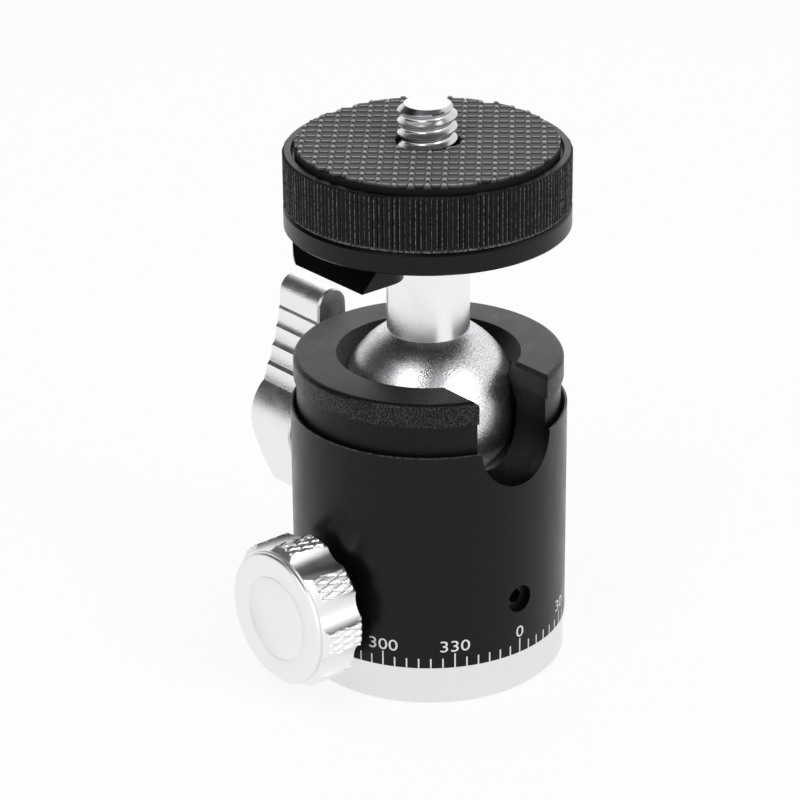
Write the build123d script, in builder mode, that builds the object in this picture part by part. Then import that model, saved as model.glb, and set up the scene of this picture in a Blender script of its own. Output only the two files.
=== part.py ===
"""Small tripod ball head: every piece as its own solid, in millimetres.

+Z is up and the origin is on the pan axis, on the face that rests on the tripod.
The drop notch opens towards -Y, the pan knob stands out along -X and the clamp lever along +Y.
"""
from math import atan2, cos, radians, sin, sqrt, tan
import os

from build123d import *

os.makedirs("parts", exist_ok=True)

# ---------------------------------------------------------------- clearances
running = 0.05            # radial play of a turning or sliding fit
seated = 0.02             # radial play of a pressed or screwed-in piece
face_play = 0.05          # play between two faces that turn on each other
pan_gap = 0.1             # daylight between two discs that turn on each other
edge_break = 0.2          # chamfer that takes a sharp edge off

# ---------------------------------------------------------------- base and pan bearing
base_h = 4.4
base_inset = 0.15         # how far the base stands back from the housing
base_chamfer = 0.45
spigot_r = 9.6            # the post that the housing turns on
spigot_h = 8.9
washer_w = 3.2
washer_t = 0.5
adapter_r = 4.76          # outside of the 3/8 inch thread
adapter_h = 8.5
tripod_thread_r = 3.2     # inside of the 1/4 inch tripod thread
adapter_slot_w = 1.6
adapter_slot_depth = 1.2

# ---------------------------------------------------------------- ball, stem and notch
ball_r = 9.5
ball_clear = 0.3          # room between the ball and the thread of the clamp shaft below it
stem_r = 4.4
stem_l = 16.9             # from the ball's centre to the lower face of the boss
notch_play = 0.3          # play each side of the stem when it lies in the notch
neck_hole_r = 2.6         # threaded bore in the ball for the stem
neck_depth = 4.5

# ---------------------------------------------------------------- housing and collar
housing_r = 14.75
floor_t = 1.0             # web between the pan bearing and the clamp chamber
rim_chamfer = 0.4
collar_rise = 5.7         # from the ball's centre to the collar's top
collar_drop = 5.8         # from the ball's centre to the end of the collar's thread
shoulder_drop = 2.0       # from the ball's centre to the shoulder that the collar seats on
lip_inset = 0.4           # how far the lip, the neck and the thread stand back from the housing
neck_inset = 0.7
collar_thread_inset = 1.25
lip_h = 2.5
lip_round = 0.6
notch_bevel = 0.4         # along the top edges of the notch in the collar
collar_bore_play = 0.4
seat_rise = 4.0           # height above the ball's centre where the collar touches it
mouth_flare = 1.13

# ---------------------------------------------------------------- pan lock and set screw
knob_rise = 5.65          # the knob's axis above the base's upper face
set_screw_rise = 6.5
groove_depth = 0.8
groove_play = 0.1
tip_r = 1.0               # flat end of the brake pin and of the set screw
brake_pin_r = 2.0
brake_pin_l = 3.2
stud_r = 2.5
stud_depth = 3.6          # how far the stud goes into the knob
set_screw_r = 1.5
set_screw_recess = 0.9

knob_r = 8.0
knob_l = 5.65
knob_gap = 0.95           # from the housing's side to the back of the knob
knob_back_chamfer = 0.4
knob_shoulder_w = 0.8     # how far the raised front disc stands in from the knob's side
knob_disc_t = 0.55
knob_slope_l = 0.6
flute_count = 8
flute_r = 2.6
flute_depth = 0.95
flute_start = 19.0        # from the level line through the knob's axis up to the first flute
face_ring_r = 4.5
face_ring_w = 0.22
face_ring_depth = 0.12

# ---------------------------------------------------------------- clamp: shaft, wedge nut, cup
shaft_rise = 2.8          # the shaft's axis above the floor of the chamber
journal_r = 2.5
shoulder_r = 2.75         # captive collar on the shaft, behind the bushing
shoulder_t = 1.0
shoulder_play = 0.25
thread_r = 2.0
thread_spare = 1.0        # how far the thread runs on past the wedge nut
drive_square = 3.5
bushing_r = 3.6
flange_r = 4.6
flange_t = 1.2
spot_face_depth = 0.65
thrust_washer_t = 0.8

wedge_l = 4.6
wedge_half = 6.0
wedge_room = 0.6          # from the wedge nut to the shaft's shoulder
ramp_rise = 1.0           # inner, higher end of the ramp above the shaft's axis
ramp_angle = 20.0
barrel_r = 2.75
cup_r = 11.0
cup_float = 0.3           # from the floor of the chamber to the cup
cup_drop = 6.2            # from the ball's centre to the cup's upper edge
cup_hole_r = 4.6
arch_play = 0.15          # room over the barrel of the wedge nut
slot_play = 0.25          # room round the wedge nut and the bushing

# ---------------------------------------------------------------- lever, heights from its shaft
lever_t = 7.0
lever_tip_rise = 17.5     # centre of the round end
lever_tip_r = 1.95
rib_count = 5
rib_top_rise = 16.0
rib_bottom_rise = 7.7
rib_top_half = 2.2        # half width of the lever at the ledge of the first and the last rib
rib_bottom_half = 4.95
rib_top_step = 0.18       # how far the first and the last rib stand out
rib_bottom_step = 0.42
rib_ledge = 0.3           # height of the small ledge above each rib
widest_drop = 4.0         # from the last rib down to the widest place
widest_half = 6.45
foot_drop = 4.7
foot_half = 3.5
lever_screw_r = 1.25
lever_screw_l = 6.8
lever_screw_head_r = 2.8
lever_screw_head_h = 1.7
lever_recess_depth = 2.0
lever_recess_play = 0.4

# ---------------------------------------------------------------- platform and camera screw
disc_r = 15.0             # the platform's disc and the lock wheel are one width
disc_t = 2.3
boss_h = 3.3
boss_inset = 0.9          # how far the boss stands back from the disc
boss_front = 4.6          # front face of the boss, towards -Y
dovetail_inset = 1.45
dovetail_angle = 45.0
pocket_play = 1.2         # room round the stem
mouth_fillet = 2.9
screw_flange_r = 4.8
screw_flange_t = 1.0
screw_shank_r = 2.8
screw_tail_r = 2.5
screw_tail_l = 6.3
camera_thread_r = 3.1     # outside of the 1/4 inch camera thread
camera_thread_l = 3.9     # above the pad
thread_inset = 0.25       # the screw where the wheel runs on it, at half the depth of its thread
screw_chamfer = 0.55

# ---------------------------------------------------------------- lock wheel
wheel_h = 5.9
wheel_rim_chamfer = 0.25
wheel_rim_w = 1.0
recess_depth = 0.6
insert_wall = 1.4
insert_h = 2.4
pad_t = 1.5
pad_gap = 0.3
pad_hole_play = 0.25
stud_w = 1.66             # pitch of the pad's studs in both directions
stud_l = 2.69
stud_groove_w = 0.5
stud_groove_depth = 0.4
stud_turn = -40.0         # the rows lie askew to the notch

# ---------------------------------------------------------------- worked out: heights
housing_bottom = base_h + pan_gap
spigot_top = base_h + spigot_h
knob_z = base_h + knob_rise
set_screw_z = base_h + set_screw_rise
groove_low = min(knob_z, set_screw_z) - tip_r - groove_play
groove_high = max(knob_z, set_screw_z) + tip_r + groove_play
chamber_floor = spigot_top + pan_gap + floor_t
lever_z = chamber_floor + shaft_rise
ball_z = lever_z + thread_r + ball_clear + ball_r
cup_bottom = chamber_floor + cup_float
cup_top = ball_z - cup_drop
collar_bottom = ball_z - collar_drop
neck_bottom = ball_z - shoulder_drop
housing_top = ball_z
collar_top = ball_z + collar_rise
neck_top = ball_z + sqrt(ball_r**2 - stem_r**2)
boss_bottom = ball_z + stem_l
disc_bottom = boss_bottom + boss_h
disc_top = disc_bottom + disc_t
flange_bottom = disc_top - screw_flange_t
wheel_bottom = disc_top + pan_gap
wheel_top = wheel_bottom + wheel_h
recess_floor = wheel_top - recess_depth
insert_top = wheel_bottom + insert_h
pad_top = recess_floor + pad_t
screw_top = pad_top + camera_thread_l

# ---------------------------------------------------------------- worked out: radii and widths
base_r = housing_r - base_inset
washer_r = spigot_r + washer_w
groove_r = spigot_r - groove_depth
chamber_r = cup_r + running
notch_half = stem_r + notch_play
lip_r = housing_r - lip_inset
neck_r = housing_r - neck_inset
collar_thread_r = housing_r - collar_thread_inset
collar_bore_r = ball_r + collar_bore_play
knob_face_r = knob_r - knob_shoulder_w
arch_r = barrel_r + arch_play
boss_r = disc_r - boss_inset
dovetail_half = boss_r - dovetail_inset
pocket_r = stem_r + pocket_play
wheel_thread_r = camera_thread_r - thread_inset
insert_r = camera_thread_r + insert_wall
recess_r = disc_r - wheel_rim_w
pad_r = recess_r - pad_gap
pad_hole_r = camera_thread_r + pad_hole_play

# ---------------------------------------------------------------- worked out: along the knob
pin_tip = groove_r + groove_play
pin_end = pin_tip + brake_pin_l
knob_rear = housing_r + knob_gap
knob_front = knob_rear + knob_l
knob_disc = knob_front - knob_disc_t
stud_end = knob_rear + stud_depth

# ---------------------------------------------------------------- worked out: along the clamp shaft
bushing_inner = sqrt(chamber_r**2 - bushing_r**2)
shoulder_end = bushing_inner - shoulder_play
shoulder_start = shoulder_end - shoulder_t
wedge_end = shoulder_start - wedge_room
wedge_start = wedge_end - wedge_l
thread_end = wedge_start - thread_spare
spot_face = housing_r - spot_face_depth
flange_face = spot_face + flange_t
lever_near = flange_face + thrust_washer_t + 2 * face_play
lever_far = lever_near + lever_t
recess_face = lever_far - lever_recess_depth

# Planes and axes of the three pieces that lie across the head. In each plane the
# first direction runs outwards along the piece and the second one is up.
knob_plane = Plane(origin=(0, 0, knob_z), x_dir=(-1, 0, 0), z_dir=(0, 1, 0))
knob_axis = Axis((0, 0, knob_z), (-1, 0, 0))
screw_plane = Plane(origin=(0, 0, set_screw_z), x_dir=(0, -1, 0), z_dir=(-1, 0, 0))
screw_axis = Axis((0, 0, set_screw_z), (0, -1, 0))
shaft_plane = Plane(origin=(0, 0, lever_z), x_dir=(0, 1, 0), z_dir=(1, 0, 0))
shaft_axis = Axis((0, 0, lever_z), (0, 1, 0))


def outline(*points):
    """Fill the polygon through the points in the open sketch, where the points stand."""
    return Polygon(*points, align=None)


def notch_outline():
    """Draw the U of the drop notch, round below the ball's centre, in the open sketch."""
    Circle(notch_half)
    with Locations((0, ball_r)):
        Rectangle(2 * notch_half, 2 * ball_r)


def facing_knob(distance):
    """Plane square to the knob's axis; its second direction is up."""
    return Plane(origin=(-distance, 0, knob_z), x_dir=(0, -1, 0), z_dir=(-1, 0, 0))


def facing_notch(distance, height):
    """Plane square to -Y, looking out through the notch."""
    return Plane(origin=(0, -distance, height), x_dir=(1, 0, 0), z_dir=(0, -1, 0))


def facing_lever(distance, height=lever_z):
    """Plane square to +Y; its first direction is -X and its second one is up."""
    return Plane(origin=(0, distance, height), x_dir=(-1, 0, 0), z_dir=(0, 1, 0))


def finish(name, part):
    """Label a finished piece and write its STEP file."""
    part.label = name
    export_step(part, f"parts/{name}.step")


# ================================================================ base
with BuildPart() as base_plate:
    with BuildSketch(Plane.XZ):
        outline(
            (0, 0),
            (base_r - base_chamfer, 0),
            (base_r, base_chamfer),
            (base_r, base_h),
            (spigot_r, base_h),
            (spigot_r, groove_low - groove_depth),
            (groove_r, groove_low),
            (groove_r, groove_high),
            (spigot_r, groove_high + groove_depth),
            (spigot_r, spigot_top - edge_break),
            (spigot_r - edge_break, spigot_top),
            (0, spigot_top),
        )
    revolve(axis=Axis.Z)
    with BuildSketch(Plane.XY):
        Circle(adapter_r + seated)
    extrude(amount=adapter_h, mode=Mode.SUBTRACT)
finish("base_plate", base_plate.part)

# Threaded adapter from 3/8 to 1/4 inch, with a slot for a coin across its outer face.
with BuildPart() as thread_adapter:
    with BuildSketch(Plane.XY):
        Circle(adapter_r)
        Circle(tripod_thread_r, mode=Mode.SUBTRACT)
    extrude(amount=adapter_h)
    with BuildSketch(Plane.XY):
        Rectangle(3 * adapter_r, adapter_slot_w)
    extrude(amount=adapter_slot_depth, mode=Mode.SUBTRACT)
finish("thread_adapter", thread_adapter.part)

with BuildPart() as pan_washer:
    with BuildSketch(Plane.XY.offset(base_h)):
        Circle(washer_r)
        Circle(spigot_r + running, mode=Mode.SUBTRACT)
    extrude(amount=washer_t)
finish("pan_washer", pan_washer.part)


# ================================================================ housing
with BuildPart() as housing:
    with BuildSketch(Plane.XZ):
        outline(
            (spigot_r + running, housing_bottom + washer_t),
            (washer_r + running, housing_bottom + washer_t),
            (washer_r + running, housing_bottom),
            (housing_r, housing_bottom),
            (housing_r, housing_top),
            (neck_r + rim_chamfer + running, housing_top),
            (neck_r + running, housing_top - rim_chamfer),
            (neck_r + running, neck_bottom),
            (collar_thread_r + running, neck_bottom),
            (collar_thread_r + running, collar_bottom - pan_gap),
            (chamber_r, collar_bottom - pan_gap),
            (chamber_r, chamber_floor),
            (0, chamber_floor),
            (0, chamber_floor - floor_t),
            (spigot_r + running, chamber_floor - floor_t),
        )
    revolve(axis=Axis.Z)
    with BuildSketch(facing_notch(0, ball_z)):
        notch_outline()
    extrude(amount=housing_r + 1, mode=Mode.SUBTRACT)
    # Threaded bore of the pan lock: narrow for the brake pin, wide for the stud.
    with BuildSketch(facing_knob(0)):
        Circle(brake_pin_r + running)
    extrude(amount=housing_r, mode=Mode.SUBTRACT)
    with BuildSketch(facing_knob(spigot_r + brake_pin_l / 2)):
        Circle(stud_r + running)
    extrude(amount=housing_r, mode=Mode.SUBTRACT)
    # Threaded bore of the set screw.
    with BuildSketch(facing_notch(spigot_r / 2, set_screw_z)):
        Circle(set_screw_r + seated)
    extrude(amount=housing_r, mode=Mode.SUBTRACT)
    # Seat of the lever bushing, with a flat for its flange.
    with BuildSketch(facing_lever(spigot_r)):
        Circle(bushing_r + seated)
    extrude(amount=housing_r, mode=Mode.SUBTRACT)
    with BuildSketch(facing_lever(spot_face)):
        Circle(flange_r + running)
    extrude(amount=housing_r, mode=Mode.SUBTRACT)
finish("housing", housing.part)

# The hollow that the ball rolls in closes to a cone that touches it just above its middle.
seat_r = ball_r + running
seat_touch_r = sqrt(seat_r**2 - seat_rise**2)
seat_slope = seat_rise / seat_touch_r
cone_start_z = ball_z + seat_rise - (collar_bore_r - seat_touch_r) / seat_slope
with BuildPart() as collar:
    with BuildSketch(Plane.XZ):
        outline(
            (collar_bore_r, collar_bottom),
            (collar_thread_r, collar_bottom),
            (collar_thread_r, neck_bottom),
            (neck_r, neck_bottom),
            (neck_r, collar_top - lip_h),
            (lip_r, collar_top - lip_h),
            (lip_r, collar_top),
            (seat_touch_r + mouth_flare, collar_top),
            (seat_touch_r, ball_z + seat_rise),
            (collar_bore_r, cone_start_z),
        )
    revolve(axis=Axis.Z)
    fillet(collar.faces().sort_by(Axis.Z)[-1].edges().sort_by(SortBy.RADIUS)[-1], lip_round)
    with BuildSketch(facing_notch(0, ball_z)):
        notch_outline()
        outline(
            (-notch_half - notch_bevel, collar_rise),
            (-notch_half, collar_rise - notch_bevel),
            (notch_half, collar_rise - notch_bevel),
            (notch_half + notch_bevel, collar_rise),
        )
    extrude(amount=housing_r + 1, mode=Mode.SUBTRACT)
finish("collar", collar.part)

# Set screw with a hexagon socket; its end runs in the groove and keeps the housing on the base.
with BuildPart() as set_screw:
    with BuildSketch(screw_plane):
        outline(
            (groove_r + groove_play, 0),
            (groove_r + groove_play, tip_r),
            (groove_r + groove_play + set_screw_r - tip_r, set_screw_r),
            (housing_r - set_screw_recess, set_screw_r),
            (housing_r - set_screw_recess, 0),
        )
    revolve(axis=screw_axis)
    with BuildSketch(facing_notch(housing_r - set_screw_recess, set_screw_z)):
        RegularPolygon(radius=set_screw_r / 2, side_count=6, major_radius=False)
    extrude(amount=-set_screw_r, mode=Mode.SUBTRACT)
finish("set_screw", set_screw.part)

# ================================================================ pan lock
with BuildPart() as pan_brake_pin:
    with BuildSketch(knob_plane):
        outline(
            (pin_tip, 0),
            (pin_tip, tip_r),
            (pin_tip + brake_pin_r - tip_r, brake_pin_r),
            (pin_end, brake_pin_r),
            (pin_end, 0),
        )
    revolve(axis=knob_axis)
finish("pan_brake_pin", pan_brake_pin.part)

with BuildPart() as pan_knob_stud:
    with BuildSketch(knob_plane):
        outline(
            (pin_end + face_play, 0),
            (pin_end + face_play, stud_r - edge_break),
            (pin_end + face_play + edge_break, stud_r),
            (stud_end, stud_r),
            (stud_end, 0),
        )
    revolve(axis=knob_axis)
finish("pan_knob_stud", pan_knob_stud.part)

with BuildPart() as pan_knob:
    with BuildSketch(knob_plane):
        outline(
            (knob_rear, 0),
            (knob_rear, knob_r - knob_back_chamfer),
            (knob_rear + knob_back_chamfer, knob_r),
            (knob_disc - knob_slope_l, knob_r),
            (knob_disc, knob_face_r + edge_break),
            (knob_disc, knob_face_r),
            (knob_front - edge_break, knob_face_r),
            (knob_front, knob_face_r - edge_break),
            (knob_front, face_ring_r + face_ring_w),
            (knob_front - face_ring_depth, face_ring_r + face_ring_w / 2),
            (knob_front, face_ring_r),
            (knob_front, 0),
        )
    revolve(axis=knob_axis)
    with BuildSketch(facing_knob(knob_rear)):
        Circle(stud_r + seated)
    extrude(amount=stud_depth, mode=Mode.SUBTRACT)
    # Finger flutes, cut along the knob from the back up to the raised front disc.
    with BuildSketch(facing_knob(knob_rear)):
        with PolarLocations(knob_r + flute_r - flute_depth, flute_count, start_angle=flute_start):
            Circle(flute_r)
    extrude(amount=knob_disc - knob_rear, mode=Mode.SUBTRACT)
finish("pan_knob", pan_knob.part)

# ================================================================ clamp
with BuildPart() as clamp_shaft:
    with BuildSketch(shaft_plane):
        outline(
            (thread_end, 0),
            (thread_end, thread_r - edge_break),
            (thread_end + edge_break, thread_r),
            (shoulder_start, thread_r),
            (shoulder_start, shoulder_r),
            (shoulder_end, shoulder_r),
            (shoulder_end, journal_r),
            (lever_near, journal_r),
            (lever_near, 0),
        )
    revolve(axis=shaft_axis)
    # The square stops short of the recess in the lever, so that the screw clamps the lever.
    with BuildSketch(facing_lever(lever_near)):
        Rectangle(drive_square, drive_square)
    extrude(amount=recess_face - face_play - lever_near)
    with BuildSketch(facing_lever(recess_face)):
        Circle(lever_screw_r + seated)
    extrude(amount=-(lever_screw_l + edge_break), mode=Mode.SUBTRACT)
finish("clamp_shaft", clamp_shaft.part)

with BuildPart() as lever_bushing:
    with BuildSketch(shaft_plane):
        outline(
            (bushing_inner, journal_r + running),
            (bushing_inner, bushing_r),
            (spot_face, bushing_r),
            (spot_face, flange_r),
            (flange_face, flange_r),
            (flange_face, journal_r + running),
        )
    revolve(axis=shaft_axis)
finish("lever_bushing", lever_bushing.part)

with BuildPart() as thrust_washer:
    with BuildSketch(facing_lever(flange_face + face_play)):
        Circle(flange_r - edge_break)
        Circle(journal_r + running, mode=Mode.SUBTRACT)
    extrude(amount=thrust_washer_t)
finish("thrust_washer", thrust_washer.part)


def rib_half(rise):
    """Half width of the lever's waist at a height above the shaft, measured to the ribs' ledges."""
    share = (rib_top_rise - rise) / (rib_top_rise - rib_bottom_rise)
    bulge = share * (0.55 + 0.45 * share)
    return rib_top_half + (rib_bottom_half - rib_top_half) * bulge


# The lever is a kite with a round tip. Five thumb ribs step outwards down each long edge:
# a short ledge, then a shallow hollow down to the next ledge.
rib_pitch = (rib_top_rise - rib_bottom_rise) / (rib_count - 1)
step_growth = (rib_bottom_step - rib_top_step) / (rib_count - 1)
rib_rises = [rib_top_rise - i * rib_pitch for i in range(rib_count)]
ledges = [(rib_half(rise), rise - rib_ledge) for rise in rib_rises]
roots = [
    (rib_half(rise) - rib_top_step - i * step_growth, rise) for i, rise in enumerate(rib_rises)
]
widest = (widest_half, rib_bottom_rise - widest_drop)
foot = (foot_half, -foot_drop)


def between(start, end, across, along):
    """Point at a share of the way across and a share of the way up between two points."""
    return (start[0] + (end[0] - start[0]) * across, start[1] + (end[1] - start[1]) * along)


with BuildPart() as lever:
    with BuildSketch(facing_lever(lever_near)):
        with BuildLine():
            ThreePointArc(
                (0, lever_tip_rise + lever_tip_r),
                (lever_tip_r * sin(radians(45)), lever_tip_rise + lever_tip_r * cos(radians(45))),
                (lever_tip_r, lever_tip_rise),
            )
            Line((lever_tip_r, lever_tip_rise), roots[0])
            for i in range(rib_count):
                Line(roots[i], ledges[i])
                if i + 1 < rib_count:
                    hollow = between(ledges[i], roots[i + 1], 0.5, 0.5)
                    sag = rib_top_step / 2
                    ThreePointArc(ledges[i], (hollow[0] - sag, hollow[1]), roots[i + 1])
            Bezier(
                ledges[-1],
                between(ledges[-1], widest, 0.53, 0.23),
                between(ledges[-1], widest, 1.0, 0.6),
                widest,
            )
            Bezier(widest, between(widest, foot, 0.0, 0.24), between(widest, foot, 0.57, 0.67), foot)
            Line(foot, (0, -foot_drop))
            mirror(about=Plane.YZ)
        make_face()
    extrude(amount=lever_t)
    chamfer(lever.faces().filter_by(Axis.Y).edges(), edge_break)
    with BuildSketch(facing_lever(lever_near)):
        Rectangle(drive_square + 2 * seated, drive_square + 2 * seated)
    extrude(amount=lever_t, mode=Mode.SUBTRACT)
    with BuildSketch(facing_lever(recess_face)):
        Circle(lever_screw_head_r + lever_recess_play)
    extrude(amount=lever_recess_depth, mode=Mode.SUBTRACT)
finish("lever", lever.part)

with BuildPart() as lever_screw:
    head_face = recess_face + lever_screw_head_h
    with BuildSketch(shaft_plane):
        outline(
            (recess_face - lever_screw_l, 0),
            (recess_face - lever_screw_l, lever_screw_r),
            (recess_face, lever_screw_r),
            (recess_face, lever_screw_head_r),
            (head_face - edge_break, lever_screw_head_r),
            (head_face, lever_screw_head_r - edge_break),
            (head_face, 0),
        )
    revolve(axis=shaft_axis)
    with BuildSketch(facing_lever(head_face)):
        RegularPolygon(radius=lever_screw_r, side_count=6, major_radius=False)
    extrude(amount=-lever_screw_head_h * 0.6, mode=Mode.SUBTRACT)
finish("lever_screw", lever_screw.part)


def ramp_height(distance):
    """Height of the wedge's ramp at a distance from the middle of the head."""
    return lever_z + ramp_rise - (distance - wedge_start) * tan(radians(ramp_angle))


# Wedge nut: a barrel on the shaft's thread between two ramps. The lever draws it outwards.
with BuildPart() as wedge_nut:
    with BuildSketch(shaft_plane) as ramp_side:
        outline(
            (wedge_start, chamber_floor + face_play - lever_z),
            (wedge_end, chamber_floor + face_play - lever_z),
            (wedge_end, ramp_height(wedge_end) - lever_z),
            (wedge_start, ramp_height(wedge_start) - lever_z),
        )
    extrude(amount=wedge_half, both=True)
    with BuildSketch(facing_lever(wedge_start)):
        Circle(barrel_r)
    extrude(amount=wedge_end - wedge_start)
    with BuildSketch(facing_lever(wedge_start)):
        Circle(thread_r + running)
    extrude(amount=wedge_end - wedge_start, mode=Mode.SUBTRACT)
    split(bisect_by=Plane.XY.offset(chamber_floor + face_play), keep=Keep.TOP)
finish("wedge_nut", wedge_nut.part)

# Ball cup: the ring under the ball. Its underside is cut out over the shaft and has
# ramps that match the wedge, so it rises when the wedge is drawn outwards.
cup_seat_r = ball_r + running
cup_edge_r = sqrt(cup_seat_r**2 - (ball_z - cup_top)**2)
cup_inner_z = ball_z - sqrt(cup_seat_r**2 - cup_hole_r**2)
middle_angle = (atan2(ball_z - cup_top, cup_edge_r) + atan2(ball_z - cup_inner_z, cup_hole_r)) / 2
with BuildPart() as ball_cup:
    with BuildSketch(Plane.XZ):
        with BuildLine():
            Polyline(
                (cup_hole_r, cup_inner_z),
                (cup_hole_r, cup_bottom),
                (cup_r, cup_bottom),
                (cup_r, cup_top - edge_break),
                (cup_r - edge_break, cup_top),
                (cup_edge_r, cup_top),
            )
            ThreePointArc(
                (cup_edge_r, cup_top),
                (cup_seat_r * cos(middle_angle), ball_z - cup_seat_r * sin(middle_angle)),
                (cup_hole_r, cup_inner_z),
            )
        make_face()
    revolve(axis=Axis.Z)
    with BuildSketch(facing_lever(0)):
        Circle(arch_r)
        with Locations((0, -lever_z / 2)):
            Rectangle(2 * arch_r, lever_z)
    extrude(amount=cup_r + 1, mode=Mode.SUBTRACT)
    with BuildSketch(facing_lever(shoulder_end - 2 * edge_break)):
        Circle(bushing_r + slot_play)
        with Locations((0, -lever_z / 2)):
            Rectangle(2 * (bushing_r + slot_play), lever_z)
    extrude(amount=cup_r, mode=Mode.SUBTRACT)
    ramp_start = wedge_start - 2 * slot_play
    ramp_end = wedge_end + 2 * slot_play
    with BuildSketch(shaft_plane):
        outline(
            (ramp_start, cup_bottom - 1 - lever_z),
            (ramp_end, cup_bottom - 1 - lever_z),
            (ramp_end, ramp_height(ramp_end) + face_play - lever_z),
            (ramp_start, ramp_height(ramp_start) + face_play - lever_z),
        )
    extrude(amount=wedge_half + slot_play, both=True, mode=Mode.SUBTRACT)
finish("ball_cup", ball_cup.part)

# ================================================================ ball and stem
with BuildPart() as ball:
    with Locations((0, 0, ball_z)):
        Sphere(ball_r)
    split(bisect_by=Plane.XY.offset(neck_top), keep=Keep.BOTTOM)
    with BuildSketch(Plane.XY.offset(neck_top)):
        Circle(neck_hole_r)
    extrude(amount=-(neck_depth + 2 * edge_break), mode=Mode.SUBTRACT)
finish("ball", ball.part)

with BuildPart() as stem:
    with BuildSketch(Plane.XZ):
        outline(
            (0, neck_top - neck_depth),
            (neck_hole_r - running, neck_top - neck_depth),
            (neck_hole_r - running, neck_top),
            (stem_r, neck_top),
            (stem_r, disc_bottom),
            (0, disc_bottom),
        )
    revolve(axis=Axis.Z)
    with BuildSketch(Plane.XY.offset(disc_bottom)):
        Circle(screw_tail_r + seated)
    extrude(amount=-(screw_tail_l + edge_break), mode=Mode.SUBTRACT)
finish("stem", stem.part)

# ================================================================ platform
# The disc carries a half-moon dovetail boss below it. A pocket in the boss clears the stem
# and opens towards the notch.
with BuildPart() as platform:
    with BuildSketch(Plane.XY.offset(boss_bottom)):
        Circle(boss_r)
        with Locations((0, -boss_front - boss_r)):
            Rectangle(2 * boss_r, 2 * boss_r, mode=Mode.SUBTRACT)
        Circle(pocket_r, mode=Mode.SUBTRACT)
        with Locations((0, -pocket_r)):
            Rectangle(2 * pocket_r, 2 * pocket_r, mode=Mode.SUBTRACT)
    extrude(amount=disc_bottom - boss_bottom)
    mouth = platform.edges().filter_by(Axis.Z).filter_by_position(
        Axis.X, -pocket_r - edge_break, pocket_r + edge_break
    )
    fillet(mouth.group_by(Axis.Y)[0], mouth_fillet)
    undercut = (disc_bottom - boss_bottom) * tan(radians(dovetail_angle))
    with BuildSketch(Plane.XZ):
        outline(
            (dovetail_half, boss_bottom),
            (dovetail_half - undercut, disc_bottom),
            (2 * boss_r, disc_bottom),
            (2 * boss_r, boss_bottom),
        )
        mirror(about=Plane.YZ)
    extrude(amount=2 * boss_r, both=True, mode=Mode.SUBTRACT)
    with BuildSketch(Plane.XZ):
        outline(
            (0, disc_bottom),
            (disc_r - edge_break, disc_bottom),
            (disc_r, disc_bottom + edge_break),
            (disc_r, disc_top - edge_break),
            (disc_r - edge_break, disc_top),
            (0, disc_top),
        )
    revolve(axis=Axis.Z)
    with BuildSketch(Plane.XY.offset(disc_bottom)):
        Circle(screw_shank_r + seated)
    extrude(amount=disc_top - disc_bottom, mode=Mode.SUBTRACT)
    with BuildSketch(Plane.XY.offset(flange_bottom)):
        Circle(screw_flange_r + seated)
    extrude(amount=screw_flange_t, mode=Mode.SUBTRACT)
finish("platform", platform.part)

# Double-ended screw: its tail goes into the stem, its flange holds the platform down,
# and its upper end is the camera thread.
with BuildPart() as camera_screw:
    with BuildSketch(Plane.XZ):
        outline(
            (0, disc_bottom - screw_tail_l),
            (screw_tail_r, disc_bottom - screw_tail_l),
            (screw_tail_r, disc_bottom),
            (screw_shank_r, disc_bottom),
            (screw_shank_r, flange_bottom),
            (screw_flange_r, flange_bottom),
            (screw_flange_r, disc_top),
            (wheel_thread_r, disc_top),
            (wheel_thread_r, pad_top + face_play),
            (camera_thread_r, pad_top + face_play),
            (camera_thread_r, screw_top - screw_chamfer),
            (camera_thread_r - screw_chamfer, screw_top),
            (0, screw_top),
        )
    revolve(axis=Axis.Z)
finish("camera_screw", camera_screw.part)

# ================================================================ lock wheel
with BuildPart() as wheel_insert:
    with BuildSketch(Plane.XY.offset(wheel_bottom)):
        Circle(insert_r)
        Circle(wheel_thread_r + running, mode=Mode.SUBTRACT)
    extrude(amount=insert_h)
finish("wheel_insert", wheel_insert.part)

with BuildPart() as lock_wheel:
    with BuildSketch(Plane.XZ):
        outline(
            (insert_r + running, wheel_bottom),
            (disc_r - wheel_rim_chamfer, wheel_bottom),
            (disc_r, wheel_bottom + wheel_rim_chamfer),
            (disc_r, wheel_top - wheel_rim_chamfer),
            (disc_r - wheel_rim_chamfer, wheel_top),
            (recess_r, wheel_top),
            (recess_r, recess_floor),
            (pad_hole_r, recess_floor),
            (pad_hole_r, insert_top + face_play),
            (insert_r + running, insert_top + face_play),
        )
    revolve(axis=Axis.Z)
finish("lock_wheel", lock_wheel.part)

with BuildPart() as rubber_pad:
    with BuildSketch(Plane.XY.offset(recess_floor)):
        Circle(pad_r)
        Circle(pad_hole_r, mode=Mode.SUBTRACT)
    extrude(amount=pad_t)
    # Crossed V grooves part the upper face into studs.
    for turn, pitch, shift in ((stud_turn, stud_w, 0), (stud_turn + 90, stud_l, stud_l / 4)):
        across = Vector(cos(radians(turn)), sin(radians(turn)), 0)
        along = Vector(-sin(radians(turn)), cos(radians(turn)), 0)
        start = Vector(0, 0, pad_top) + across * shift
        with BuildSketch(Plane(origin=start, x_dir=across, z_dir=along)):
            # The second direction of this plane is down.
            with GridLocations(pitch, 1, 2 * int(pad_r / pitch), 1):
                outline((-stud_groove_w / 2, 0), (0, stud_groove_depth), (stud_groove_w / 2, 0))
        extrude(amount=pad_r + 1, both=True, mode=Mode.SUBTRACT)
finish("rubber_pad", rubber_pad.part)
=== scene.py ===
"""Looks of a small tripod ball head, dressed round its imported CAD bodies. Metres, +Z up."""
from math import ceil, cos, hypot, pi, radians, sin, sqrt, tan, tau

import bmesh
import bpy
from mathutils import Euler, Matrix, Vector


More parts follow.
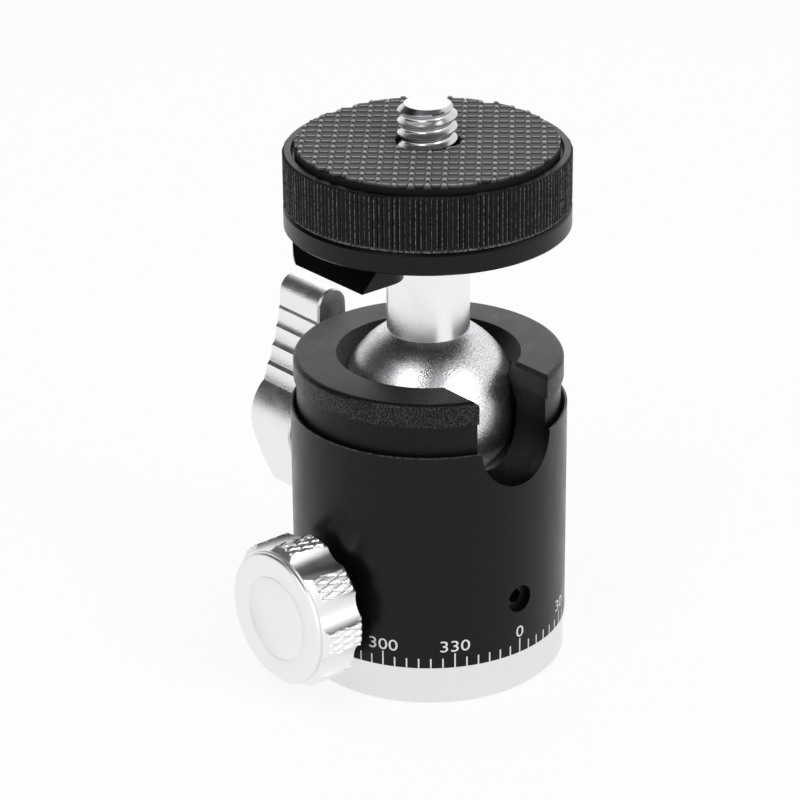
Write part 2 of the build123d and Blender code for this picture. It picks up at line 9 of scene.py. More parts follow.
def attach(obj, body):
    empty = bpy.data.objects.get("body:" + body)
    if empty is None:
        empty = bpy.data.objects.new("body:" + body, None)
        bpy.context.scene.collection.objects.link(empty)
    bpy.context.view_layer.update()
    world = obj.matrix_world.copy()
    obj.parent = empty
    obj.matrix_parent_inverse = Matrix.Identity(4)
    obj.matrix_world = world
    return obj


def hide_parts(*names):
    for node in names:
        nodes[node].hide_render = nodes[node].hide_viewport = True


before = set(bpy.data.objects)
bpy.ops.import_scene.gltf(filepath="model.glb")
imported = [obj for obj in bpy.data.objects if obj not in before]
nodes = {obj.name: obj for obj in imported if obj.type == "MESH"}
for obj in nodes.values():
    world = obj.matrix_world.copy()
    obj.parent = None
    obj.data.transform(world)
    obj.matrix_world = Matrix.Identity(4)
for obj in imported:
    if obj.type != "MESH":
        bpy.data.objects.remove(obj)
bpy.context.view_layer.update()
MM = 0.001
ORIGIN = (0, 0, 0)
UP = (0, 0, 1)

# Sizes of the solids, in millimetres, that a dressed piece or a finish has to meet.
housing_r = 14.75
housing_bottom, housing_top = 4.5, 29.0
lip_r = 14.35
lip_bottom, lip_top = 32.2, 34.7
disc_r = 15.0
disc_top = 51.5
wheel_bottom, wheel_top = 51.6, 57.5
recess_r, recess_floor = 14.0, 56.9
pad_hole_r = 3.35
pad_top = 58.4
screw_top = 62.3
knob_z = 10.05

# Sizes of the dressed pieces that their finishes follow.
tooth_depth = 0.26
tooth_root = disc_r - tooth_depth
pad_floor = 57.95
flat_top = 58.24


# ---------------------------------------------------------------- making finishes
def linear(code, alpha=1.0):
    """An sRGB hex colour as linear light."""
    shares = [int(code[i:i + 2], 16) / 255 for i in (0, 2, 4)]
    return [s / 12.92 if s <= 0.04045 else ((s + 0.055) / 1.055) ** 2.4 for s in shares] + [alpha]


def feed(tree, node, inputs):
    """Set a node's inputs, each to a value or to another node's output through a link."""
    for socket, value in inputs.items():
        if isinstance(value, bpy.types.NodeSocket):
            tree.links.new(value, node.inputs[socket])
        else:
            node.inputs[socket].default_value = value


def add(tree, kind, inputs=None, **settings):
    """Add a node with its settings and links."""
    node = tree.nodes.new(kind)
    for name, value in settings.items():
        setattr(node, name, value)
    feed(tree, node, inputs or {})
    return node


def finish_of(name, colour, roughness, **sockets):
    """A material with its shader's plain sockets set; returns it with its tree and shader."""
    material = bpy.data.materials.new(name)
    material.use_nodes = True
    tree = material.node_tree
    shader = tree.nodes["Principled BSDF"]
    feed(tree, shader, {"Base Color": linear(colour), "Roughness": roughness})
    feed(tree, shader, {socket.replace("_", " "): value for socket, value in sockets.items()})
    return material, tree, shader


def lathe(tree, centre=ORIGIN, axis=UP):
    """Coordinates that follow a turning tool: radius from the axis, and distance along it."""
    place = add(tree, "ShaderNodeTexCoord").outputs["Object"]
    moved = add(tree, "ShaderNodeVectorMath", {0: place, 1: centre}, operation="SUBTRACT").outputs[0]
    along = add(
        tree, "ShaderNodeVectorMath", {0: moved, 1: axis}, operation="DOT_PRODUCT"
    ).outputs["Value"]
    inline = add(tree, "ShaderNodeVectorMath", {0: axis, "Scale": along}, operation="SCALE").outputs[0]
    across = add(tree, "ShaderNodeVectorMath", {0: moved, 1: inline}, operation="SUBTRACT").outputs[0]
    radius = add(tree, "ShaderNodeVectorMath", {0: across}, operation="LENGTH").outputs["Value"]
    return radius, along


def zone(tree, *edges):
    """A share that is 1 in one zone of a piece and fades to 0 outside it.

    Each edge is a coordinate and two places in millimetres: 0 at the first, 1 at the second.
    """
    share = None
    for coordinate, start, end in edges:
        inside = add(tree, "ShaderNodeMapRange", {0: coordinate, 1: start * MM, 2: end * MM}).outputs[0]
        if share is not None:
            inside = add(tree, "ShaderNodeMath", {0: share, 1: inside}, operation="MULTIPLY").outputs[0]
        share = inside
    return share


def pit(tree, shader, width, depth, detail=3.0):
    """Roughen the surface with uneven grain, width and depth in millimetres; returns the grain."""
    place = add(tree, "ShaderNodeTexCoord").outputs["Object"]
    grain = add(
        tree, "ShaderNodeTexNoise", {"Vector": place, "Scale": 1 / (width * MM), "Detail": detail}
    ).outputs[0]
    bump = add(tree, "ShaderNodeBump", {"Height": grain, "Strength": 1.0, "Distance": depth * MM})
    feed(tree, shader, {"Normal": bump.outputs[0]})
    return grain


def drift(tree, shader, width, low, high, detail=3.0):
    """Let the roughness drift between low and high, in soft patches width millimetres across."""
    place = add(tree, "ShaderNodeTexCoord").outputs["Object"]
    patches = add(
        tree, "ShaderNodeTexNoise", {"Vector": place, "Scale": 1 / (width * MM), "Detail": detail}
    ).outputs[0]
    # Noise keeps mostly between 0.3 and 0.7.
    spread = add(tree, "ShaderNodeMapRange", {0: patches, 1: 0.3, 2: 0.7, 3: low, 4: high})
    feed(tree, shader, {"Roughness": spread.outputs[0]})


def turned_metal(
    name, colour, roughness, centre=ORIGIN, axis=UP, groove=0.08, depth=0.0006, blast=0.0
):
    """Metal from the lathe in a satin sheen: rings that the tool left, then a light blasting.

    The rings are groove wide and depth deep, in millimetres; the real ones are finer, and these
    are as coarse as it takes to show. The blasting's dents are blast times as deep as the rings.
    """
    material, tree, shader = finish_of(name, colour, roughness, Metallic=1.0)
    drift(tree, shader, 2.5, roughness - 0.04, roughness + 0.05, detail=4.0)
    radius, along = lathe(tree, centre, axis)
    turned = add(tree, "ShaderNodeCombineXYZ", {0: radius, 1: along}).outputs[0]
    height = add(
        tree, "ShaderNodeTexNoise", {"Vector": turned, "Scale": 1 / (groove * MM), "Detail": 2.0}
    ).outputs[0]
    if blast:
        dent_w = 0.2
        place = add(tree, "ShaderNodeTexCoord").outputs["Object"]
        dents = add(
            tree, "ShaderNodeTexNoise", {"Vector": place, "Scale": 1 / (dent_w * MM), "Detail": 3.0}
        ).outputs[0]
        height = add(
            tree, "ShaderNodeMath", {0: dents, 1: blast, 2: height}, operation="MULTIPLY_ADD"
        ).outputs[0]
    bump = add(tree, "ShaderNodeBump", {"Height": height, "Strength": 1.0, "Distance": depth * MM})
    feed(tree, shader, {"Normal": bump.outputs[0]})
    return material


def black_anodised(name, colour, roughness, grain, depth, shine=0.3):
    """Black anodised aluminium: a dyed, glassy layer, so it shines like a dark dielectric."""
    material, tree, shader = finish_of(name, colour, roughness, IOR=1.5, Specular_IOR_Level=shine)
    pit(tree, shader, grain, depth)
    drift(tree, shader, 2.5, roughness - 0.04, roughness + 0.06, detail=4.0)
    return material, tree, shader


def wear(tree, shader, fleck_colour, mask):
    """Paint a paler colour, in broken flecks, where a mask says so; it serves as a painted highlight on
    edges and tips.
    """
    fleck_w = 0.3
    place = add(tree, "ShaderNodeTexCoord").outputs["Object"]
    grain = add(
        tree, "ShaderNodeTexNoise", {"Vector": place, "Scale": 1 / (fleck_w * MM), "Detail": 3.0}
    ).outputs[0]
    flecks = add(tree, "ShaderNodeMapRange", {0: grain, 1: 0.40, 2: 0.64, 3: 0.15, 4: 1.0}).outputs[0]
    # Share of the paler painted colour: the painted highlight, where the mask is 1.
    wear_and_sheen = add(tree, "ShaderNodeMath", {0: mask, 1: flecks}, operation="MULTIPLY").outputs[0]
    dyed = shader.inputs["Base Color"].default_value[:]
    mixed = add(tree, "ShaderNodeMix", {0: wear_and_sheen, 6: dyed, 7: linear(fleck_colour)}, data_type="RGBA")
    feed(tree, shader, {"Base Color": mixed.outputs[2]})


# ---------------------------------------------------------------- finishes
# Silver anodised aluminium, turned and lightly blasted: a soft grey-white sheen.
silver_anodised = turned_metal("silver_anodised_aluminium", "E6E6E8", 0.30, blast=10)

# The same on the knob, turned about its own axis and blasted more: wider and softer highlights.
silver_knob = turned_metal(
    "silver_anodised_knob_aluminium", "F0F0F1", 0.36,
    centre=(0, 0, knob_z * MM), axis=(-1, 0, 0), groove=0.10, depth=0.0008, blast=12,
)

# Satin steel of the neck: smooth and bright, with a soft edge to each reflection.
turned_stem = turned_metal("turned_satin_steel", "F2F2F3", 0.26, blast=6)

# Steel of a cut thread: a little darker than the turned parts, with sharper glints.
screw_steel = turned_metal("cut_thread_steel", "D2D2D4", 0.20, groove=0.05)

# Plain turned steel of the shafts and the adapter: an even grey.
plain_steel = turned_metal("plain_steel", "B9BABC", 0.34)

# Turned brass of the bushing and the insert: a warm yellow with fine rings.
brass = turned_metal("turned_brass", "D8B45C", 0.30)

# Bead-blasted aluminium: an even grain that breaks a highlight into sparkles. The real dents are
# finer; they are as coarse as it takes to show. Their floors are painted darker and their tops paler,
# as painted shade and glints of the grain.
blasted_ball, tree, shader = finish_of("bead_blasted_aluminium", "E4E5E7", 0.28, Metallic=1.0)
dents = pit(tree, shader, 0.15, 0.032, detail=1.0)
painted_dent_shade = add(tree, "ShaderNodeMapRange", {0: dents, 1: 0.34, 2: 0.66}).outputs[0]
shade = add(
    tree, "ShaderNodeMix", {0: painted_dent_shade, 6: linear("BDBEC1"), 7: linear("FAFBFD")}, data_type="RGBA"
)
feed(tree, shader, {"Base Color": shade.outputs[2]})
drift(tree, shader, 3.0, 0.25, 0.32)

# Cast aluminium lever, tumbled and silver anodised: slightly uneven, with faint specks.
silver_cast, tree, shader = finish_of("tumbled_cast_aluminium", "F0F0F1", 0.28, Metallic=1.0)
pit(tree, shader, 0.2, 0.03, detail=2.0)
drift(tree, shader, 1.8, 0.25, 0.36)

# Black anodised housing and platform: nearly black with a satin shine. Round the housing's upper edge
# a painted highlight in pale grey flecks stands in for the glint of the edge.
black_smooth, tree, shader = black_anodised(
    "black_anodised_aluminium", "070708", 0.28, grain=0.10, depth=0.002, shine=0.21
)
radius, along = lathe(tree)
wear(tree, shader, "4A4A4C", zone(
    tree,
    (along, housing_top - 0.14, housing_top - 0.08),
    (along, housing_top + 0.04, housing_top + 0.02),
    (radius, housing_r - 0.19, housing_r - 0.13),
))

# Blasted and black anodised collar: a dull black. On the outer side of its lip, and nowhere else,
# the blasting is left coarse and glitters.
black_blasted, tree, shader = black_anodised(
    "blasted_black_anodised_aluminium", "0E0E10", 0.30, grain=0.16, depth=0.06, shine=0.30
)
radius, along = lathe(tree)
lip_start = (along, lip_bottom - 0.05, lip_bottom + 0.05)
lip_side = zone(
    tree, lip_start, (along, lip_top - 0.08, lip_top - 0.25), (radius, lip_r - 0.55, lip_r - 0.35)
)
speck_w = 0.13
place = add(tree, "ShaderNodeTexCoord").outputs["Object"]
grain = add(
    tree, "ShaderNodeTexNoise", {"Vector": place, "Scale": 1 / (speck_w * MM), "Detail": 1.0}
).outputs[0]
specks = add(tree, "ShaderNodeMapRange", {0: grain, 1: 0.44, 2: 0.64, 3: 0.08, 4: 0.66}).outputs[0]
plain = add(tree, "ShaderNodeMapRange", {0: zone(tree, lip_start), 3: 0.16, 4: 0.27}).outputs[0]
gloss = add(tree, "ShaderNodeMix", {0: lip_side, 2: plain, 3: specks}).outputs[0]
feed(tree, shader, {"Specular IOR Level": gloss})

# Knurled and black anodised wheel: fine broken grey lines are painted on the tips of the knurl, as
# their painted highlight, and along its lower rim.
black_knurled, tree, shader = black_anodised(
    "knurled_black_anodised_aluminium", "040405", 0.24, grain=0.14, depth=0.03, shine=0.17
)
radius, along = lathe(tree)
tip_highlight = zone(tree, (radius, disc_r - 0.11, disc_r - 0.03))
lower_rim = zone(
    tree, (along, wheel_bottom + 0.3, wheel_bottom + 0.2), (radius, tooth_root - 0.12, tooth_root)
)
# Where the pale flecks go: the painted highlight on the tips, and the lower rim.
mask = add(tree, "ShaderNodeMath", {0: tip_highlight, 1: lower_rim}, operation="MAXIMUM").outputs[0]
wear(tree, shader, "747476", mask)

# Black oxide on steel screws: a thin, even black with a soft shine.
black_steel, tree, shader = black_anodised("black_oxide_steel", "101012", 0.30, grain=0.10, depth=0.003)

# White acetal: a waxy plastic washer.
acetal, tree, shader = finish_of("white_acetal", "DAD9D4", 0.42, IOR=1.48)
pit(tree, shader, 0.3, 0.004)

# Moulded nitrile rubber: grey on the flats, with painted shade in its grooves and a painted highlight
# on the peaks.
rubber, tree, shader = finish_of(
    "moulded_black_rubber", "38383A", 0.62, IOR=1.5, Specular_IOR_Level=0.25
)
radius, along = lathe(tree)
above_grooves = zone(tree, (along, pad_floor + 0.02, flat_top - 0.04))
peak_highlight = zone(tree, (along, flat_top, pad_top - 0.04))
both = add(tree, "ShaderNodeMath", {0: above_grooves, 1: peak_highlight}, operation="ADD").outputs[0]
groove_shade_to_peak_highlight = add(tree, "ShaderNodeMath", {0: both, 1: 0.5}, operation="MULTIPLY").outputs[0]
# Colour by height: painted shade at the floor, the rubber's grey on the flats, a painted highlight on
# the peaks.
shade = add(tree, "ShaderNodeValToRGB", {0: groove_shade_to_peak_highlight})
shade.color_ramp.elements[0].color = linear("0C0C0D")
shade.color_ramp.elements[1].color = linear("9E9EA0")
shade.color_ramp.elements.new(0.5).color = linear("4C4C4E")
feed(tree, shader, {"Base Color": shade.outputs[0]})
pit(tree, shader, 0.12, 0.015)

# Screen-printed white enamel of the dial: a flat white, a little uneven.
dial_white, tree, shader = finish_of("white_dial_print", "DEDEDC", 0.45, IOR=1.5)
pit(tree, shader, 0.08, 0.002)


# ---------------------------------------------------------------- CAD solids that stay
def smooth(shape):
    """Smooth an object's curved faces; its own edges stay sharp."""
    for face in shape.data.polygons:
        face.use_smooth = True
    split = shape.modifiers.new("keep_edges", "EDGE_SPLIT")
    split.split_angle = radians(28)


finishes = {
    "base_plate": silver_anodised,
    "thread_adapter": plain_steel,
    "pan_washer": acetal,
    "housing": black_smooth,
    "collar": black_blasted,
    "set_screw": black_steel,
    "pan_brake_pin": brass,
    "pan_knob_stud": plain_steel,
    "clamp_shaft": plain_steel,
    "lever_bushing": brass,
    "thrust_washer": acetal,
    "lever": silver_cast,
    "lever_screw": black_steel,
    "wedge_nut": plain_steel,
    "ball_cup": acetal,
    "ball": blasted_ball,
    "stem": turned_stem,
    "platform": black_smooth,
    "wheel_insert": brass,
}
for name, material in finishes.items():
    solid = nodes[name]
    solid.data.materials.clear()
    solid.data.materials.append(material)
    weld = solid.modifiers.new("join_triangles", "WELD")
    weld.merge_threshold = 1e-6
    smooth(solid)


# ---------------------------------------------------------------- making pieces
def object_of(name, bm, material):
    """Turn a finished bmesh in metres into an object with its material."""
    mesh = bpy.data.meshes.new(name)
    bm.to_mesh(mesh)
    bm.free()
    mesh.materials.append(material)
    made = bpy.data.objects.new(name, mesh)
    bpy.context.scene.collection.objects.link(made)
    return made


def piece(name, bm, material, body, replaced=None):
    """Turn a finished bmesh in millimetres into a piece that rides on a body."""
    bmesh.ops.remove_doubles(bm, verts=bm.verts, dist=1e-4)
    bmesh.ops.recalc_face_normals(bm, faces=bm.faces)
    bmesh.ops.scale(bm, vec=(MM, MM, MM), verts=bm.verts)
    made = object_of(name, bm, material)
    smooth(made)
    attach(made, body)
    if replaced:
        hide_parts(replaced)


def draw_in(vert, reach):
    """Move a vertex straight towards or away from the upright axis, to a given radius."""
    share = reach / hypot(vert.co.x, vert.co.y)
    vert.co.x *= share
    vert.co.y *= share


def rings(bm, segments, levels, shaped=None):
    """Sweep a ring through levels of (radius, height); shaped may vary a radius round the turn.

    Levels that end on the axis, or come back to the first, are closed when doubles are merged.
    """
    turns = [tau * i / segments for i in range(segments)]
    ring = bmesh.ops.create_circle(bm, cap_ends=False, radius=1, segments=segments)["verts"]
    for step, (radius, height) in enumerate(levels):
        if step:
            loop = [bm.edges.get((ring[i - 1], ring[i])) for i in range(segments)]
            grown = bmesh.ops.extrude_edge_only(bm, edges=loop)["geom"]
            followers = {v for v in grown if isinstance(v, bmesh.types.BMVert)}
            grown_from = {
                edge.other_vert(vert): vert
                for vert in followers for edge in vert.link_edges
                if edge.other_vert(vert) not in followers
            }
            ring = [grown_from[vert] for vert in ring]
        for turn, vert in zip(turns, ring):
            reach = shaped(turn, height, radius) if shaped else radius
            vert.co = (reach * cos(turn), reach * sin(turn), height)


# ---------------------------------------------------------------- lock wheel
# A straight knurl of 176 teeth whose tips are turned off at both rims.
tooth_count = 176
tooth_form = (0.0, 0.7, 1.0, 0.7)      # share of the depth at each step round a tooth
tip_wear, wear_rhythm = 0.05, 2.4      # the tips are worn unevenly, by up to 0.05 mm
rim_chamfer, recess_chamfer = 0.25, 0.1
insert_hole_r, insert_hole_top = 4.55, 54.05


def wheel_side(turn, height, radius):
    """Radius of the knurled wheel: four steps for each tooth."""
    if radius < disc_r:
        return radius
    tooth, step = divmod(round(turn / tau * tooth_count * len(tooth_form)), len(tooth_form))
    wear_and_sheen = tip_wear * sin(wear_rhythm * tooth) ** 2
    return radius - wear_and_sheen - (tooth_depth - wear_and_sheen) * tooth_form[step]


bm = bmesh.new()
rings(bm, len(tooth_form) * tooth_count, [
    (insert_hole_r, wheel_bottom), (disc_r - rim_chamfer, wheel_bottom),
    (disc_r, wheel_bottom + rim_chamfer), (disc_r, wheel_top - rim_chamfer),
    (disc_r - rim_chamfer, wheel_top), (recess_r + recess_chamfer, wheel_top),
    (recess_r, wheel_top - recess_chamfer), (recess_r, recess_floor), (pad_hole_r, recess_floor),
    (pad_hole_r, insert_hole_top), (insert_hole_r, insert_hole_top), (insert_hole_r, wheel_bottom),
], wheel_side)
piece("knurled_wheel", bm, black_knurled, "wheel", "lock_wheel")

# ---------------------------------------------------------------- rubber pad
# A grid of flat tiles whose near corners are cut, with a ledge before each and a three-sided peak
# where four of them meet.
pad_r = 13.7
column, row = 1.66, 1.57               # spacing of the tiles
grid_turn = radians(-42)
grid_shift = -0.45
edge_gap = 0.03                        # the studs stand back from the pad's edges by this
past_hole, past_rim = 0.4, 0.3         # a stud is kept while its centre is no further beyond them
half_w, half_d, cut_w, cut_d = 0.77, 0.70, 0.34, 0.58
tile = [
    (-half_w, -half_d + cut_d), (-half_w + cut_w, -half_d), (half_w - cut_w, -half_d),
    (half_w, -half_d + cut_d), (half_w, half_d), (-half_w, half_d),
]
ledge = [(-0.40, -0.71), (0.40, -0.71), (0.43, -0.60), (-0.43, -0.60)]
peak = [(-0.46, -0.42), (0.46, -0.42), (0.0, 0.60)]
flat_h, full_h = flat_top - pad_floor, pad_top - pad_floor
tile_levels = [(1.0, flat_h - 0.08), (0.95, flat_h)]
ledge_levels = [(1.0, full_h - 0.02)]
peak_levels = [(0.50, full_h)]
peak_across, peak_along = 0.5, 0.62    # where the peak stands, as shares of a column and a row


def stud(bm, outline, levels, centre):
    """One stud from its outline, raised through levels of (share of its size, height)."""
    foot = [bm.verts.new((x, y, 0)) for x, y in outline]
    made = list(foot)
    top = bm.faces.new(foot)
    for share, height in levels:
        top = bmesh.ops.extrude_discrete_faces(bm, faces=[top])["faces"][0]
        for vert, (x, y) in zip(top.verts, outline):
            vert.co = (x * share, y * share, height)
        made += list(top.verts)
    # The first raised face took the foot's own, so the foot is closed again.
    bm.faces.new(foot)
    where = Matrix.Rotation(grid_turn, 4, "Z") @ Matrix.Translation(centre)
    bmesh.ops.transform(bm, matrix=where, verts=made)
    for vert in made:
        reach = hypot(vert.co.x, vert.co.y)
        draw_in(vert, min(max(reach, pad_hole_r + edge_gap), pad_r - edge_gap))


bm = bmesh.new()
rings(bm, 160, [
    (pad_hole_r, recess_floor), (pad_r, recess_floor), (pad_r, pad_floor), (pad_hole_r, pad_floor),
    (pad_hole_r, recess_floor),
])
grid_reach = ceil(pad_r / row) + 1
for i in range(-grid_reach, grid_reach + 1):
    for j in range(-grid_reach, grid_reach + 1):
        for shape, levels, across, along in (
            (tile, tile_levels, 0.0, 0.0),
            (ledge, ledge_levels, 0.0, 0.0),
            (peak, peak_levels, peak_across, peak_along),
        ):
            x, y = (i + across) * column + grid_shift, (j + along) * row
            if pad_hole_r - past_hole < hypot(x, y) < pad_r + past_rim:
                stud(bm, shape, levels, (x, y, pad_floor))
piece("studded_pad", bm, rubber, "wheel", "rubber_pad")

# ---------------------------------------------------------------- camera screw
# A 1/4 inch thread of 20 turns to the inch, chamfered at its end.
thread_pitch = 1.27
camera_root_r, camera_crest_r = 2.48, 3.1
camera_thread_lift = 0.35              # places its crests, in millimetres up the screw
screw_tip_r = 2.4
thread_foot = disc_top - 0.2
screw_bottom, stem_thread_top, flange_bottom = 42.9, 49.2, 50.5
stem_thread_r, shank_r, flange_r = 2.5, 2.8, 4.8


def helix(bm, root_r, crest_r, low, high, steps=96, lift=0.0):
    """A 60 degree thread with a rounded root, cut square at both ends and capped.

    It is an outside thread where the crest's radius is the larger one, and otherwise an inside one.
    """
    pitch = thread_pitch
    crest = pitch / 8
    sign = 1 if crest_r > root_r else -1
    depth = abs(crest_r - root_r)
    slope = tan(radians(30))
    round_r = ((pitch - crest) / 2 - depth * slope) / (cos(radians(30)) - slope / 2)
    arc = [radians(a) for a in range(-60, 61, 15)]
    root = [(root_r + sign * round_r * (1 - cos(a)), pitch / 2 + round_r * sin(a)) for a in arc]
    profile = [(crest_r, -crest / 2), (crest_r, crest / 2), *root, (crest_r, pitch - crest / 2)]
    verts = [bm.verts.new((r, 0, z)) for r, z in profile]
    edges = [bm.edges.new(pair) for pair in zip(verts, verts[1:])]
    turns = ceil((high - low) / pitch) + 2
    bmesh.ops.spin(
        bm, geom=verts + edges, cent=ORIGIN, axis=UP, dvec=(0, 0, pitch / steps),
        angle=tau * turns, steps=steps * turns, use_merge=False,
    )
    bmesh.ops.remove_doubles(bm, verts=bm.verts, dist=1e-4)
    # It starts one and a half turns below its foot, so that both ends are cut from whole turns.
    bmesh.ops.translate(bm, vec=(0, 0, low - 1.5 * pitch + lift), verts=bm.verts)
    for height, up in ((low, -1), (high, 1)):
        cut = bmesh.ops.bisect_plane(
            bm, geom=list(bm.verts) + list(bm.edges) + list(bm.faces), dist=1e-5,
            plane_co=(0, 0, height), plane_no=(0, 0, up), clear_outer=True,
        )
        rim = [e for e in cut["geom_cut"] if isinstance(e, bmesh.types.BMEdge)]
        bmesh.ops.contextual_create(bm, geom=rim)


bm = bmesh.new()
helix(bm, camera_root_r, camera_crest_r, thread_foot, screw_top, lift=camera_thread_lift)
for vert in bm.verts:
    most = screw_tip_r + (screw_top - vert.co.z)
    if hypot(vert.co.x, vert.co.y) > most:
        draw_in(vert, most)
rings(bm, 64, [
    (0.0, screw_bottom), (stem_thread_r, screw_bottom), (stem_thread_r, stem_thread_top),
    (shank_r, stem_thread_top), (shank_r, flange_bottom), (flange_r, flange_bottom),
    (flange_r, disc_top), (0.0, disc_top),
])
piece("camera_thread", bm, screw_steel, "camera_platform", "camera_screw")

# ---------------------------------------------------------------- pan knob
# Eight smooth flutes, a diamond knurl on the lands between them, and a raised face with a ring.
# Its heights are distances from the head's axis.
knob_r, knob_face_r = 8.0, 7.2
knob_rear, knob_front = 15.7, 21.35
knob_disc = knob_front - 0.55
rear_chamfer, front_slope = 0.4, 0.6
stud_hole_r, stud_hole_l = 2.52, 3.6
face_ring_r, face_ring_w, face_ring_depth = 4.5, 0.22, 0.055
face_round = ((0.0, 0.3), (0.03, 0.18), (0.11, 0.08), (0.22, 0.02), (0.35, 0.0))
flute_count, flute_r, flute_depth = 8, 2.6, 0.95
flute_axis = knob_r + flute_r - flute_depth
flute_start = radians(19)
knurl_depth = 0.17
knurl_pitch = 0.86
knurl_lean = 0.30
knurl_groove = 0.34                    # share of half a pitch that the wall of a groove takes
hair = 0.01                            # tells a level on the side from one beyond its end


def flute_floor(turn):
    """Radius of the knob at the floor of a flute, or far out beside it."""
    off = (turn - flute_start + pi / flute_count) % (tau / flute_count) - pi / flute_count
    inside = flute_r ** 2 - (flute_axis * sin(off)) ** 2
    return flute_axis * cos(off) - sqrt(inside) if inside > 0 else 2 * knob_r


def knob_side(turn, height, radius):
    """Radius of the knob's side, with its flutes and the knurl between them."""
    if not knob_rear - hair <= height <= knob_disc - hair:
        return radius
    arc = turn * knob_r
    rise_1 = abs(((arc + knurl_lean * height) / knurl_pitch) % 1 - 0.5) * 2
    rise_2 = abs(((arc - knurl_lean * height) / knurl_pitch) % 1 - 0.5) * 2
    groove = knurl_depth * (1 - min(rise_1, rise_2, knurl_groove) / knurl_groove)
    return min(radius, knob_r - groove, flute_floor(turn))


side_low, side_high = knob_rear + rear_chamfer, knob_disc - front_slope
side_steps, slope_steps = 44, 10
# The slope stops a hair short of the disc, so that flutes and knurl run out to its end.
slope_l = front_slope - 1.1 * hair
knob_levels = [
    (0.0, knob_rear + stud_hole_l), (stud_hole_r, knob_rear + stud_hole_l), (stud_hole_r, knob_rear),
    (knob_r - rear_chamfer, knob_rear), (knob_r, side_low),
]
for step in range(1, side_steps + 1):
    knob_levels.append((knob_r, side_low + (side_high - side_low) * step / side_steps))
for step in range(1, slope_steps + 1):
    share = step / slope_steps
    knob_levels.append((knob_r - front_slope * share, side_high + slope_l * share))
knob_levels += [(knob_r - front_slope, knob_disc), (knob_face_r, knob_disc)]
knob_levels += [(knob_face_r - inset, knob_front - drop) for inset, drop in face_round]
knob_levels += [
    (face_ring_r + face_ring_w, knob_front),
    (face_ring_r + face_ring_w / 2, knob_front - face_ring_depth),
    (face_ring_r, knob_front), (0.0, knob_front),
]
bm = bmesh.new()
rings(bm, 720, knob_levels, knob_side)
# The rings were stacked along +Z; the knob points along -X at its own height.
bmesh.ops.transform(
    bm, matrix=Matrix.Translation((0, 0, knob_z)) @ Matrix.Rotation(radians(-90), 4, "Y"),
    verts=bm.verts,
)
piece("fluted_knob", bm, silver_knob, "knob", "pan_knob")

# ---------------------------------------------------------------- tripod thread
# It is cut inside the adapter, in the same pitch.
tripod_root_r, tripod_crest_r, sleeve_r = 3.19, 2.62, 3.25
tripod_bottom, tripod_top = 0.35, 8.4
bm = bmesh.new()
helix(bm, tripod_root_r, tripod_crest_r, tripod_bottom, tripod_top, steps=64)
caps = [f for f in bm.faces if len(f.verts) > 8]
bmesh.ops.delete(bm, geom=caps, context="FACES_ONLY")
# A thin sleeve closes it on the outside, where it lies in the adapter's metal.
rims = [e for e in bm.edges if e.is_boundary]
grown = bmesh.ops.extrude_edge_only(bm, edges=rims)["geom"]
for vert in grown:
    if isinstance(vert, bmesh.types.BMVert):
        draw_in(vert, sleeve_r)
outer = [e for e in grown if isinstance(e, bmesh.types.BMEdge) and e.is_boundary]
bmesh.ops.bridge_loops(bm, edges=outer)
piece("tripod_thread", bm, plain_steel, "base")

# ---------------------------------------------------------------- dial print
# A stroke every 5 degrees round the housing's lower edge, and a longer one with a number every 30.
print_h, print_sunk = 0.03, 0.01
dial_step, number_step, dial_zero = 5, 30, -90
stroke_w, stroke_low = 0.16, 0.02
long_stroke, short_stroke = 1.65, 1.1
numeral_h, numeral_gap = 1.3, 0.22
numeral_stretch = 1.22


def wrap(bm, angle, low):
    """Thicken flat print, drawn in millimetres, and bend it round the housing above its lower edge."""
    grown = bmesh.ops.extrude_face_region(bm, geom=list(bm.faces), use_keep_orig=True)["geom"]
    raised = [v for v in grown if isinstance(v, bmesh.types.BMVert)]
    bmesh.ops.translate(bm, vec=(0, 0, print_h), verts=raised)
    for vert in bm.verts:
        turn = angle + vert.co.x / housing_r
        reach = housing_r - print_sunk + vert.co.z
        vert.co = (reach * cos(turn), reach * sin(turn), housing_bottom + low + vert.co.y)


def numeral(text):
    """Flat mesh of a number, centred, numeral_h tall."""
    curve = bpy.data.curves.new("numeral", "FONT")
    curve.body = text
    curve.align_x = "CENTER"
    curve.resolution_u = 4
    holder = bpy.data.objects.new("numeral", curve)
    bpy.context.scene.collection.objects.link(holder)
    bpy.context.view_layer.update()
    mesh = bpy.data.meshes.new_from_object(holder.evaluated_get(bpy.context.evaluated_depsgraph_get()))
    bpy.data.objects.remove(holder)
    drawn = bmesh.new()
    drawn.from_mesh(mesh)
    bpy.data.meshes.remove(mesh)
    lowest = min(v.co.y for v in drawn.verts)
    tallest = max(v.co.y for v in drawn.verts)
    scale = numeral_h / (tallest - lowest)
    for vert in drawn.verts:
        vert.co = (vert.co.x * scale * numeral_stretch, (vert.co.y - lowest) * scale, 0)
    return drawn


bm = bmesh.new()
carrier = bpy.data.meshes.new("print_step")
for degrees in range(0, 360, dial_step):
    numbered = degrees % number_step == 0
    tall = long_stroke if numbered else short_stroke
    stroke = bmesh.new()
    bmesh.ops.create_grid(stroke, x_segments=1, y_segments=2, size=0.5)
    bmesh.ops.scale(stroke, vec=(stroke_w, tall, 1), verts=stroke.verts)
    bmesh.ops.translate(stroke, vec=(0, tall / 2, 0), verts=stroke.verts)
    marks = [(stroke, stroke_low)]
    if numbered:
        marks.append((numeral(str(degrees)), long_stroke + numeral_gap))
    for mark, low in marks:
        wrap(mark, radians(degrees + dial_zero), low)
        mark.to_mesh(carrier)
        mark.free()
        bm.from_mesh(carrier)
bpy.data.meshes.remove(carrier)
bmesh.ops.recalc_face_normals(bm, faces=bm.faces)
bmesh.ops.scale(bm, vec=(MM, MM, MM), verts=bm.verts)
dial = object_of("dial_print", bm, dial_white)
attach(dial, "head")

